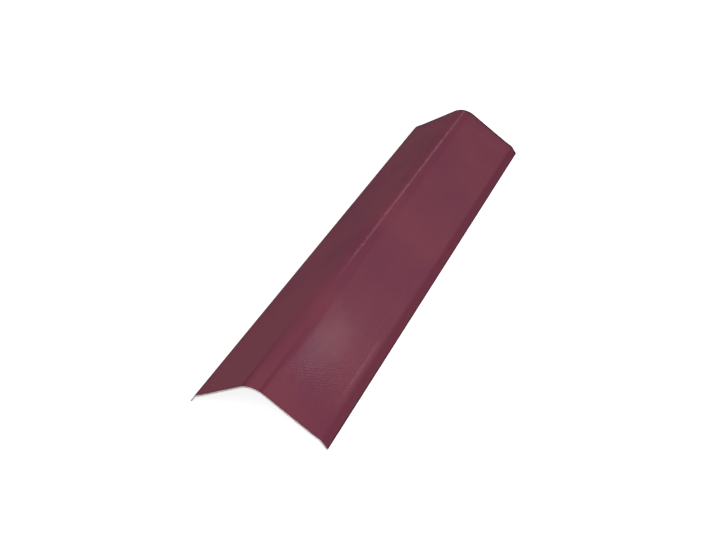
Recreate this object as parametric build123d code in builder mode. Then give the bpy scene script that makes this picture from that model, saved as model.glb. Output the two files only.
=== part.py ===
# Verge flashing: one thick coated sheet, bent along its length to cap the gable edge of a roof.
#
# Sizes are in millimetres and degrees. X runs across the piece, Y along it and Z up.
# The origin is on the floor under the middle of the piece, which stands like a tent on
# the two long cut edges, with the ridge uppermost.

import os
from math import cos, radians, sin

from build123d import *

piece_length = 1040     # along the verge, cut square at both ends
sheet_thickness = 3     # measured square to the face

# Widths on the outer face, each from corner to corner as if the bends were sharp.
leg_width = 136         # from the ridge to the shoulder
shoulder_width = 19.5   # the stiffening band between leg and lip
lip_width = 21          # from the last bend to the cut edge

ridge_angle = 113       # between the two legs
shoulder_angle = 2.5    # each shoulder turns this much further out than its leg
lip_angle = 22          # each lip turns this much further in than its leg

ridge_radius = 46       # outer face of the rounded ridge
shoulder_radius = 10    # outer face, in the hollow where a leg meets its shoulder
lip_radius = 10         # outer face of the soft bend above a lip
arris_radius = 0.6      # wear of the cut edges all round

# Slopes below the horizontal, from the ridge outwards.
leg_slope = radians((180 - ridge_angle) / 2)
shoulder_slope = leg_slope - radians(shoulder_angle)
lip_slope = leg_slope + radians(lip_angle)

# The piece rests on the inner arrises of its lips. They lie one sheet thickness in from
# the outer face, and the wear of the arris raises them a little.
arris_wear = arris_radius * (cos(lip_slope) + sin(lip_slope) - 1)
tip_height = sheet_thickness * cos(lip_slope) - arris_wear

# Corners of the outer face, up from the cut edge and out from the ridge.
lip_height = tip_height + lip_width * sin(lip_slope)
shoulder_height = lip_height + shoulder_width * sin(shoulder_slope)
ridge_height = shoulder_height + leg_width * sin(leg_slope)
shoulder_reach = leg_width * cos(leg_slope)
lip_reach = shoulder_reach + shoulder_width * cos(shoulder_slope)
tip_reach = lip_reach + lip_width * cos(lip_slope)

with BuildPart() as verge_flashing:
    with BuildSketch(Plane.XZ):
        with BuildLine():
            outer_face = FilletPolyline(
                (-tip_reach, tip_height),
                (-lip_reach, lip_height),
                (-shoulder_reach, shoulder_height),
                (0, ridge_height),
                (shoulder_reach, shoulder_height),
                (lip_reach, lip_height),
                (tip_reach, tip_height),
                radius=[lip_radius, shoulder_radius, ridge_radius, shoulder_radius, lip_radius],
            )
            offset(outer_face, amount=sheet_thickness, side=Side.RIGHT)
        make_face()
    extrude(amount=piece_length / 2, both=True)

    # The cut arrises: the profile at each end, and both arrises of each lip's long cut.
    end_arrises = edges().group_by(Axis.Y)[0] + edges().group_by(Axis.Y)[-1]
    long_edges = edges().filter_by(Axis.Y).sort_by(Axis.X)
    fillet(end_arrises + long_edges[:2] + long_edges[-2:], radius=arris_radius)

verge_flashing.part.label = "verge_flashing"

os.makedirs("parts", exist_ok=True)
export_step(verge_flashing.part, "parts/verge_flashing.step")
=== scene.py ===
import bpy
from math import cos, pi, radians, sin, tan
from mathutils import Matrix, Vector


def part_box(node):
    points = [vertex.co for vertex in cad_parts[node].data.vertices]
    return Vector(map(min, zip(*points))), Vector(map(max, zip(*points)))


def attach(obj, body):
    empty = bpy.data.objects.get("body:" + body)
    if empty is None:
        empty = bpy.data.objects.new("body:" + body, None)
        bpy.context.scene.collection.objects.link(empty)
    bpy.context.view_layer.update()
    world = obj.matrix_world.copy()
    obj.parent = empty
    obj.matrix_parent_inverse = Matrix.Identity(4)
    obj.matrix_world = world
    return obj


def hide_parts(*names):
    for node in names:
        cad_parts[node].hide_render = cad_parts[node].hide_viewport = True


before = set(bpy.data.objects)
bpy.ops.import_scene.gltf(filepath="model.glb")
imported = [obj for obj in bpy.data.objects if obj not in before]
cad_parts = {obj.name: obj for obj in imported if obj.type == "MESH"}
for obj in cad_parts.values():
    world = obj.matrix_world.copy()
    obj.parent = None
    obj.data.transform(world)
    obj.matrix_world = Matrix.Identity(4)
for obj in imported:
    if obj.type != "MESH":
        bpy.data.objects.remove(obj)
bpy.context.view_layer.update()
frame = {"nodes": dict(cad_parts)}
nodeLow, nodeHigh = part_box("verge_flashing")
print("frame loaded:", ", ".join(frame["nodes"]))


# the camera stands above the near end, on the right, and looks down along the ridge

cameraSpot = {
    "place": (0.66357, -1.39398, 1.21962),
    "turn": 27.425,      # degrees to the left of straight ahead
    "tilt": 39.62,       # down from level
    "roll": -2.668,
    "lens": 45.9,        # mm
    "sensor": 36,        # mm wide
}


def setCamera(spot):
    data = bpy.data.cameras.new("vergeCamera")
    data.lens = spot["lens"]
    data.sensor_width = spot["sensor"]
    camera = bpy.data.objects.new("vergeCamera", data)
    bpy.context.scene.collection.objects.link(camera)
    turned = Matrix.Rotation(radians(spot["turn"]), 4, "Z")
    tilted = Matrix.Rotation(radians(90 - spot["tilt"]), 4, "X")
    rolled = Matrix.Rotation(radians(spot["roll"]), 4, "Z")
    camera.matrix_world = Matrix.Translation(spot["place"]) @ turned @ tilted @ rolled
    bpy.context.scene.camera = camera


setCamera(cameraSpot)
print("camera set")


# small helpers for the mesh

hair = 0.0001            # metres; vertices that should be told apart are further apart than this


def deselectAll():
    if bpy.context.object and bpy.context.object.mode != "OBJECT":
        bpy.ops.object.mode_set(mode="OBJECT")
    bpy.ops.object.select_all(action="DESELECT")


def pickVerts(piece, wanted):
    bpy.ops.object.mode_set(mode="EDIT")
    bpy.ops.mesh.select_mode(type="VERT")
    bpy.ops.mesh.select_all(action="DESELECT")
    bpy.ops.object.mode_set(mode="OBJECT")
    for vert in piece.data.vertices:
        vert.select = wanted(vert.co)
    bpy.ops.object.mode_set(mode="EDIT")


def pickedPoint(piece):
    bpy.ops.object.mode_set(mode="OBJECT")
    points = [vert.co.copy() for vert in piece.data.vertices if vert.select]
    bpy.ops.object.mode_set(mode="EDIT")
    return sum(points, Vector()) / len(points)


def addModifier(piece, name, kind, **settings):
    modifier = piece.modifiers.new(name, kind)
    for key, value in settings.items():
        setattr(modifier, key, value)
    bpy.ops.object.modifier_apply(modifier=name)


# the sheet: a grid laid as the right leg, bent and drawn on at both long edges, then mirrored

flashing = {
    "length": nodeHigh.y - nodeLow.y,
    "ridgeTop": nodeHigh.z,
    "thickness": 0.003,
    "ridgeAngle": 113.0,
    "ridgeRadius": 0.046,
    "legWidth": 0.136,          # from corner to corner as if sharp, like the next two
    "shoulderWidth": 0.0195,
    "lipWidth": 0.021,
    "shoulderAngle": 2.5,       # out from the leg
    "shoulderCrown": 4.0,       # degrees that each side of the shoulder's soft crown falls away
    "lipAngle": 22.0,           # in from the leg
    "bendRadius": 0.010,
    "arris": 0.0006,            # wear of the cut edges
    "arrisAngle": 50.0,         # only edges sharper than this are worn
    "smoothAngle": 20.0,        # faces that meet at less than this are shaded as one
    "rows": 130,                # faces along the length
    "legColumns": 14,           # faces across each part of one half, from the ridge outwards
    "shoulderColumns": 8,
    "lipColumns": 3,
    "ridgeSteps": 12,           # faces round each bend of one half
    "shoulderSteps": 1,
    "lipSteps": 6,
    "arrisSteps": 3,
    "waveHeight": 0.0010,       # from the hollow to the crest of a leg's waves
    "waveLength": 0.24,
}


def drawOn(width, heading, steps, crown=0.0):
    # the picked edge goes straight on, or over a crown whose two sides fall away
    for step in range(steps):
        slope = heading + crown * ((2 * step + 1) / steps - 1)
        reach = Vector((cos(slope), 0, -sin(slope))) * width / steps
        bpy.ops.mesh.extrude_region_move(TRANSFORM_OT_translate={"value": reach})


def bendOn(piece, radius, heading, turn, steps, centreBelow=True):
    # the picked edge goes round a line along Y; a positive turn carries +Z towards +X
    side = -1 if centreBelow else 1
    centre = pickedPoint(piece) + Vector((sin(heading), 0, cos(heading))) * side * radius
    bpy.ops.mesh.spin(steps=steps, angle=-turn, center=centre, axis=(0, 1, 0))


def bendSheet(size):
    # a heading is the slope of the face below the horizontal, and a cut is what a bend takes off a flat
    leg = radians(180 - size["ridgeAngle"]) / 2
    shoulderTurn = radians(size["shoulderAngle"])
    lipTurn = shoulderTurn + radians(size["lipAngle"])
    shoulder = leg - shoulderTurn
    lip = shoulder + lipTurn
    shoulderCut = size["bendRadius"] * tan(shoulderTurn / 2)
    lipCut = size["bendRadius"] * tan(lipTurn / 2)
    legFlat = size["legWidth"] - size["ridgeRadius"] * tan(leg) - shoulderCut
    shoulderFlat = size["shoulderWidth"] - shoulderCut - lipCut
    ridgeCentre = Vector((0, 0, size["ridgeTop"] - size["ridgeRadius"]))
    ridgeEnd = ridgeCentre + Vector((sin(leg), 0, cos(leg))) * size["ridgeRadius"]
    legMiddle = ridgeEnd + Vector((cos(leg), 0, -sin(leg))) * legFlat / 2

    deselectAll()
    bpy.ops.mesh.primitive_grid_add(x_subdivisions=size["legColumns"], y_subdivisions=size["rows"], size=1,
                                    calc_uvs=False, location=legMiddle, rotation=(0, leg, 0))
    piece = bpy.context.object
    piece.name = "flashingSheet"
    piece.data.name = "flashingSheet"
    piece.scale = (legFlat, size["length"], 1)
    bpy.ops.object.transform_apply(location=True, rotation=True, scale=True)

    legEnd = ridgeEnd.x + legFlat * cos(leg)
    pickVerts(piece, lambda co: co.x < ridgeEnd.x + hair)
    bendOn(piece, size["ridgeRadius"], leg, -leg, size["ridgeSteps"])
    pickVerts(piece, lambda co: co.x > legEnd - hair)
    bendOn(piece, size["bendRadius"], leg, -shoulderTurn, size["shoulderSteps"], centreBelow=False)
    drawOn(shoulderFlat, shoulder, size["shoulderColumns"], radians(size["shoulderCrown"]))
    bendOn(piece, size["bendRadius"], shoulder, lipTurn, size["lipSteps"])
    drawOn(size["lipWidth"] - lipCut, lip, size["lipColumns"])
    bpy.ops.object.mode_set(mode="OBJECT")

    addModifier(piece, "otherHalf", "MIRROR", use_clip=True, merge_threshold=hair)
    bpy.ops.object.mode_set(mode="EDIT")
    bpy.ops.mesh.select_all(action="SELECT")
    bpy.ops.mesh.remove_doubles(threshold=hair / 10)
    bpy.ops.mesh.normals_make_consistent(inside=False)
    bpy.ops.object.mode_set(mode="OBJECT")
    upward = sum(face.normal.z * face.area for face in piece.data.polygons)
    if upward < 0:
        bpy.ops.object.mode_set(mode="EDIT")
        bpy.ops.mesh.flip_normals()
        bpy.ops.object.mode_set(mode="OBJECT")
    return piece


def nearly(distance):
    return round(distance, 5)       # to ten micrometres


def unrollSheet(piece, name):
    # u is measured across the face from the ridge and v along it, both in metres
    verts = piece.data.vertices
    front = min(vert.co.y for vert in verts)
    section = sorted((vert.co.copy() for vert in verts if vert.co.y < front + hair), key=lambda co: co.x)
    reached = 0.0
    across = {nearly(section[0].x): reached}
    for here, there in zip(section, section[1:]):
        reached += (there - here).length
        across[nearly(there.x)] = reached
    layer = piece.data.uv_layers.new(name=name)
    for loop in piece.data.loops:
        co = verts[loop.vertex_index].co
        layer.data[loop.index].uv = (across[nearly(co.x)] - reached / 2, co.y)
    return reached


def waveLegs(piece, size):
    # long shallow waves in the two legs, fading out towards the ridge and the shoulders
    slope = radians(180 - size["ridgeAngle"]) / 2
    inner = size["ridgeRadius"] * sin(slope)
    outer = size["legWidth"] * cos(slope)
    group = piece.vertex_groups.new(name="legs")
    for vert in piece.data.vertices:
        place = (abs(vert.co.x) - inner) / (outer - inner)
        if 0 < place < 1:
            group.add([vert.index], sin(pi * place) ** 2, "REPLACE")
    waves = bpy.data.textures.new("legWaves", "CLOUDS")
    waves.noise_scale = size["waveLength"]
    waves.noise_depth = 1
    addModifier(piece, "waves", "DISPLACE", texture=waves, strength=size["waveHeight"], mid_level=0.5,
                vertex_group="legs")
    piece.vertex_groups.clear()


def thickenSheet(piece, size, finishes):
    # the bent face stays outside, and the finishes go to it, the underside and the cuts
    face, underside, cuts = range(3)
    for finish in finishes:
        piece.data.materials.append(finish)
    addModifier(piece, "thickness", "SOLIDIFY", thickness=size["thickness"], offset=-1, use_even_offset=True,
                material_offset=underside, material_offset_rim=cuts)
    addModifier(piece, "arris", "BEVEL", width=size["arris"], segments=size["arrisSteps"],
                limit_method="ANGLE", angle_limit=radians(size["arrisAngle"]))

    # the near end is freshly sawn up to the face, while the coat rolls over the other upper arrises
    sawnShare = 0.98            # of the arris's depth; a face whose middle lies beyond it isn't sawn
    rollsOver = 0.05            # a cut face that looks up by more than this is coated
    for polygon in piece.data.polygons:
        if polygon.center.y < size["arris"] * sawnShare - size["length"] / 2:
            polygon.material_index = cuts
        elif polygon.material_index == cuts and polygon.normal.z > rollsOver:
            polygon.material_index = face
    bpy.ops.object.shade_smooth_by_angle(angle=radians(size["smoothAngle"]))


def fitToNode(piece, low, high):
    # the true arc of the ridge stands a hair above the node's facets
    corners = [Vector(corner) for corner in piece.bound_box]
    under = Vector(min(corner[axis] for corner in corners) for axis in range(3))
    over = Vector(max(corner[axis] for corner in corners) for axis in range(3))
    piece.scale = [(high[axis] - low[axis]) / (over[axis] - under[axis]) for axis in range(3)]
    piece.location = [low[axis] - under[axis] * piece.scale[axis] for axis in range(3)]
    bpy.ops.object.transform_apply(location=True, rotation=True, scale=True)


# small helpers for nodes; the owner is a material or the world

def feed(owner, node, inputs):
    # an output is linked, and any other value is set on the input itself
    for key, value in inputs.items():
        if isinstance(value, bpy.types.NodeSocket):
            owner.node_tree.links.new(value, node.inputs[key])
        else:
            node.inputs[key].default_value = value


def addNode(owner, kind, inputs=None, **settings):
    node = owner.node_tree.nodes.new(kind)
    for key, value in settings.items():
        setattr(node, key, value)
    feed(owner, node, inputs or {})
    return node


def newMaterial(name):
    material = bpy.data.materials.new(name)
    material.use_nodes = True
    material.node_tree.nodes.clear()
    output = addNode(material, "ShaderNodeOutputMaterial")
    shader = addNode(material, "ShaderNodeBsdfPrincipled")
    feed(material, output, {"Surface": shader.outputs["BSDF"]})
    return material, shader


def mathNode(owner, operation, first, second=0.0, **settings):
    node = addNode(owner, "ShaderNodeMath", {0: first, 1: second}, operation=operation, **settings)
    return node.outputs[0]


def ranged(owner, value, low, high, lowTo=0.0, highTo=1.0, **settings):
    node = addNode(owner, "ShaderNodeMapRange", {
        "Value": value, "From Min": low, "From Max": high, "To Min": lowTo, "To Max": highTo}, **settings)
    return node.outputs["Result"]


def stretched(material, coords, scale, turn=0.0):
    node = addNode(material, "ShaderNodeMapping", {"Vector": coords, "Scale": scale})
    node.inputs["Rotation"].default_value[2] = radians(turn)
    return node.outputs["Vector"]


def noise(material, coords, scale, detail=2.0, roughness=0.5):
    return addNode(material, "ShaderNodeTexNoise", {
        "Vector": coords, "Scale": scale, "Detail": detail, "Roughness": roughness}).outputs["Fac"]


def mixColours(material, factor, first, second):
    # these numbers are the node's colour sockets
    return addNode(material, "ShaderNodeMix", {0: factor, 6: first, 7: second}, data_type="RGBA").outputs[2]


def bumped(material, height, depth):
    bump = addNode(material, "ShaderNodeBump", {"Height": height, "Strength": 1.0, "Distance": depth})
    return bump.outputs["Normal"]


mouldMesh = {
    "slant": 52,                # degrees either way
    "waver": 1.2,               # how far its ribs stray from straight
    "waverDetail": 1.0,
    "waverScale": 0.4,
}


def meshImprint(material, coords, pitch, look):
    # two sets of fine ribs that cross on the slant, as a moulding mesh leaves them
    ribs = []
    ribScale = 0.1 * pi / pitch     # the wave texture repeats every 0.1 pi metres at scale 1
    for turn in (look["slant"], -look["slant"]):
        slanted = stretched(material, coords, (1, 1, 1), turn)
        ribs.append(addNode(material, "ShaderNodeTexWave", {
            "Vector": slanted, "Scale": ribScale, "Distortion": look["waver"],
            "Detail": look["waverDetail"], "Detail Scale": look["waverScale"]}).outputs["Fac"])
    return mathNode(material, "MULTIPLY", ribs[0], ribs[1])


# the coated face: clouds of wine and plum, with painted shade deepening the lips, two painted shade lines on
# the ridge's round and painted shade along the edges

coating = {
    "wine": (0.168, 0.0420, 0.0610, 1),
    "plumWine": (0.146, 0.0360, 0.0615, 1),
    "cloudScale": 5.0,
    "cloudDetail": 3.0,
    "streakScale": (60, 2.5, 1),    # fine across the sheet, long along it
    "streakShare": 0.15,        # of the tone; the clouds make up the rest
    "toneRange": (0.40, 0.60),  # from all wine to all plum
    # painted shade: the lips, which face away from the light, are coloured deeper
    "lipShadeWine": (0.140, 0.0310, 0.0520, 1),
    "lipWidth": 0.021,
    "lipShadeFade": (1.3, 0.9),      # in lip widths from the cut: where the painted shade starts, and is full
    # painted shade: a dark band along the sides and both ends of the face
    "edge": (0.045, 0.012, 0.020, 1),
    "edgeSide": 0.004,          # how far the painted edge shade reaches in: sides, near end and far end
    "edgeNear": 0.002,
    "edgeFar": 0.008,
    "edgeFull": 0.3,            # the share of the painted edge shade that is at full strength
    # painted shade: the colour of two dark lines on the ridge's round
    "ridgeShade": (0.118, 0.0250, 0.0430, 1),
    "ridgeShadeAt": 0.0185,           # from the ridge, on both sides
    "ridgeShadeShift": 0.0015,        # both lie this much to the left
    "ridgeShadeWidth": 0.006,
    "ridgeShadeLength": 0.20,
    "roughness": 0.6,
    "meshPitch": 0.0057,
    "meshRelief": 0.8,          # weights of the mesh and of a soft peel in the relief
    "peelRelief": 1.5,
    "peelScale": 170.0,
    "peelDetail": 1.0,
    "reliefDepth": 0.000052,
    "glossRange": (0.32, 0.46),     # the mean of mesh and peel, from the thin gloss to the full one
    "coatThin": 0.0,            # weight of the gloss where mesh and peel are low, and where they are high
    "coatFull": 0.088,
    "coatIor": 2.0,
    "coatRoughness": 0.11,
}


def cloudedColour(material, look, unrolled):
    clouds = noise(material, unrolled, look["cloudScale"], look["cloudDetail"])
    streaks = noise(material, stretched(material, unrolled, look["streakScale"]), 1.0)
    tone = mathNode(material, "ADD", mathNode(material, "MULTIPLY", streaks, look["streakShare"]),
                    mathNode(material, "MULTIPLY", clouds, 1 - look["streakShare"]))
    return mixColours(material, ranged(material, tone, *look["toneRange"]), look["wine"], look["plumWine"])


# painted shade: the band of the lips that is coloured deeper
def lipShadeBand(material, look, fromRidge, girth):
    start, full = (girth / 2 - look["lipWidth"] * share for share in look["lipShadeFade"])
    return ranged(material, fromRidge, start, full)


def ridgeShadeLines(material, look, across, along, length):
    # painted shade: a dark line on each side of the ridge's round, from the near end until it fades out
    aside = mathNode(material, "ABSOLUTE", mathNode(material, "ADD", across, look["ridgeShadeShift"]))
    fromRidgeShade = mathNode(material, "ABSOLUTE", mathNode(material, "SUBTRACT", aside, look["ridgeShadeAt"]))
    ridgeShade = ranged(material, fromRidgeShade, look["ridgeShadeWidth"], 0.0)
    fade = ranged(material, along, look["ridgeShadeLength"] - length / 2, -length / 2)
    return mathNode(material, "MULTIPLY", ridgeShade, fade)


def paintedEdgeShade(material, look, fromRidge, along, girth, length):
    # painted shade along the sides and both ends
    edges = (
        (fromRidge, girth / 2, look["edgeSide"], 1),
        (along, length / 2, look["edgeFar"], 1),
        (along, length / 2, look["edgeNear"], -1),
    )
    rim = 0.0
    for reach, end, width, side in edges:
        band = ranged(material, reach, side * (end - width), side * (end - width * look["edgeFull"]))
        rim = mathNode(material, "MAXIMUM", band, rim)
    return rim


def coatedFace(look, mesh, girth, length):
    material, shader = newMaterial("wineCoating")
    unrolled = addNode(material, "ShaderNodeUVMap", uv_map="unrolled").outputs["UV"]
    parts = addNode(material, "ShaderNodeSeparateXYZ", {"Vector": unrolled})
    across, along = parts.outputs["X"], parts.outputs["Y"]
    fromRidge = mathNode(material, "ABSOLUTE", across)

    colour = cloudedColour(material, look, unrolled)
    # painted shade on the lips
    colour = mixColours(material, lipShadeBand(material, look, fromRidge, girth), colour, look["lipShadeWine"])
    # painted shade lines on the ridge's round
    colour = mixColours(material, ridgeShadeLines(material, look, across, along, length), colour, look["ridgeShade"])
    # painted shade along the edges
    rim = paintedEdgeShade(material, look, fromRidge, along, girth, length)
    colour = mixColours(material, rim, colour, look["edge"])

    # the relief of mesh and peel, and a gloss that lies on their high parts
    imprint = meshImprint(material, unrolled, look["meshPitch"], mesh)
    peel = noise(material, unrolled, look["peelScale"], look["peelDetail"])
    speckle = mathNode(material, "MULTIPLY", mathNode(material, "ADD", imprint, peel), 0.5)
    relief = mathNode(material, "ADD", mathNode(material, "MULTIPLY", imprint, look["meshRelief"]),
                      mathNode(material, "MULTIPLY", peel, look["peelRelief"]))
    normal = bumped(material, relief, look["reliefDepth"])

    feed(material, shader, {
        "Base Color": colour,
        "Roughness": look["roughness"],
        "Specular IOR Level": 0.0,
        "Normal": normal,
        "Coat Weight": ranged(material, speckle, *look["glossRange"], look["coatThin"], look["coatFull"]),
        "Coat IOR": look["coatIor"],
        "Coat Roughness": look["coatRoughness"],
        "Coat Normal": normal,
    })
    return material


backing = {
    "dull": (0.105, 0.022, 0.036, 1),
    "pale": (0.135, 0.035, 0.050, 1),
    "wornRange": (0.1, 0.6),    # mesh and clouds together, from all dull to all pale
    "cloudScale": 9.0,
    "cloudDetail": 4.0,
    "meshPitch": 0.004,
    "peelScale": 500.0,
    "peelDetail": 3.0,
    "reliefDepth": 0.0001,
    "roughness": 0.75,
    "shine": 0.3,
}


def undersideFace(look, mesh):
    material, shader = newMaterial("dullUnderside")
    unrolled = addNode(material, "ShaderNodeUVMap", uv_map="unrolled").outputs["UV"]
    imprint = meshImprint(material, unrolled, look["meshPitch"], mesh)
    clouds = noise(material, unrolled, look["cloudScale"], look["cloudDetail"])
    worn = mathNode(material, "MULTIPLY", imprint, clouds, use_clamp=True)
    pale = ranged(material, worn, *look["wornRange"])
    peel = noise(material, unrolled, look["peelScale"], look["peelDetail"])
    relief = mathNode(material, "ADD", imprint, peel)
    feed(material, shader, {
        "Base Color": mixColours(material, pale, look["dull"], look["pale"]),
        "Roughness": look["roughness"],
        "Specular IOR Level": look["shine"],
        "Normal": bumped(material, relief, look["reliefDepth"]),
    })
    return material


cut = {
    "fibre": (0.80, 0.72, 0.72, 1),
    "binder": (0.62, 0.53, 0.535, 1),
    "fibreScale": 900.0,
    "fibreDetail": 4.0,
    "fibreRange": (0.35, 0.65),     # from all binder to all fibre
    "fleck": (0.05, 0.035, 0.04, 1),
    "fleckScale": 60.0,
    "fleckDetail": 3.0,
    "fleckRange": (0.66, 0.72),     # only the peaks of the noise are flecks
    "fleckWeight": 0.8,
    "grain": 0.6,               # roughness of both noises
    "reliefDepth": 0.0002,
    "roughness": 0.9,
    "shine": 0.2,
}


def cutFace(look):
    material, shader = newMaterial("cutFibre")
    place = addNode(material, "ShaderNodeTexCoord").outputs["Object"]
    fibres = noise(material, place, look["fibreScale"], look["fibreDetail"], look["grain"])
    blotches = noise(material, place, look["fleckScale"], look["fleckDetail"], look["grain"])
    flecks = ranged(material, blotches, *look["fleckRange"], 0.0, look["fleckWeight"])
    fibrous = ranged(material, fibres, *look["fibreRange"])
    colour = mixColours(material, fibrous, look["binder"], look["fibre"])
    feed(material, shader, {
        "Base Color": mixColours(material, flecks, colour, look["fleck"]),
        "Roughness": look["roughness"],
        "Specular IOR Level": look["shine"],
        "Normal": bumped(material, fibres, look["reliefDepth"]),
    })
    return material


sheet = bendSheet(flashing)
girth = unrollSheet(sheet, "unrolled")
waveLegs(sheet, flashing)
thickenSheet(sheet, flashing, (
    coatedFace(coating, mouldMesh, girth, flashing["length"]),
    undersideFace(backing, mouldMesh),
    cutFace(cut),
))
fitToNode(sheet, nodeLow, nodeHigh)
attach(sheet, "root")
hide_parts("verge_flashing")
print("sheet bent, girth", round(girth * 1000, 1), "mm,", len(sheet.data.polygons), "faces")


# floor, world and lamps

studio = {
    "floorSize": 40.0,
    "floorColour": (0.44, 0.44, 0.44, 1),
    "floorRoughness": 0.9,
    "floorLift": 0.87,          # glow that is added only for rays that see the floor
    "white": (1, 1, 1, 1),
    "horizon": 0.87,            # brightness of the world low down and overhead
    "dome": 0.11,
    "horizonHeight": 0.02,      # where it starts to fall and has fallen, as the sine of the angle above level
    "domeHeight": 0.42,
    "lampAim": (0, 0, 0.05),
}


def layFloor(look):
    deselectAll()
    bpy.ops.mesh.primitive_plane_add(size=look["floorSize"])
    floor = bpy.context.object
    floor.name = "paleFloor"
    material, shader = newMaterial("paleFloor")
    rays = addNode(material, "ShaderNodeLightPath").outputs
    seen = mathNode(material, "MAXIMUM", rays["Is Camera Ray"], rays["Is Glossy Ray"])
    seen = mathNode(material, "MAXIMUM", seen, rays["Is Transmission Ray"])
    feed(material, shader, {
        "Base Color": look["floorColour"],
        "Roughness": look["floorRoughness"],
        "Specular IOR Level": 0.0,
        "Emission Color": look["white"],
        "Emission Strength": mathNode(material, "MULTIPLY", seen, look["floorLift"]),
    })
    floor.data.materials.append(material)


def lightWorld(look):
    world = bpy.data.worlds.new("studioDome")
    bpy.context.scene.world = world
    world.use_nodes = True
    direction = addNode(world, "ShaderNodeTexCoord").outputs["Generated"]
    height = addNode(world, "ShaderNodeSeparateXYZ", {"Vector": direction}).outputs["Z"]
    brightness = ranged(world, height, look["horizonHeight"], look["domeHeight"],
                        look["horizon"], look["dome"], interpolation_type="SMOOTHSTEP")
    feed(world, world.node_tree.nodes["Background"], {"Color": look["white"], "Strength": brightness})


lamps = {
    # a soft light from one end to the other: both ends, width in metres, radiance
    "frontSoft": ((-0.7, -1.3, 2.05), (1.86, -1.3, 2.05), 1.5, 3.5),
    "rightSoft": ((2.2, -0.6, 1.6), (2.2, 0.6, 1.6), 1.2, 4.8),
    "leftSoft": ((-1.6, -0.5, 2.0), (-1.6, 1.0, 2.0), 0.9, 2.2),
    "sidePanel": ((1.57, 1.55, 1.88), (1.12, 3.35, 1.5), 0.66, 1.4),
    "ridgeStrip": ((-0.88, 1.95, 2.1), (-0.88, 3.9, 2.1), 0.45, 9.2),
    "nearGlint": ((1.57, 1.47, 1.93), (1.52, 1.63, 1.88), 0.18, 31.0),
}


def hangLamps(spots, aim):
    for name, (start, end, width, radiance) in spots.items():
        start, end = Vector(start), Vector(end)
        data = bpy.data.lights.new(name, "AREA")
        data.shape = "RECTANGLE"
        data.size = (end - start).length
        data.size_y = width
        data.energy = radiance * pi * data.size * data.size_y
        lamp = bpy.data.objects.new(name, data)
        bpy.context.scene.collection.objects.link(lamp)
        along = (end - start).normalized()
        away = (start + end) / 2 - Vector(aim)
        away = (away - along * away.dot(along)).normalized()
        lamp.matrix_world = Matrix((along, away.cross(along), away)).transposed().to_4x4()
        lamp.location = (start + end) / 2
        lamp.visible_camera = False


layFloor(studio)
lightWorld(studio)
hangLamps(lamps, studio["lampAim"])
bpy.context.scene.view_settings.view_transform = "Standard"
print("floor, world and", len(lamps), "lamps in place")
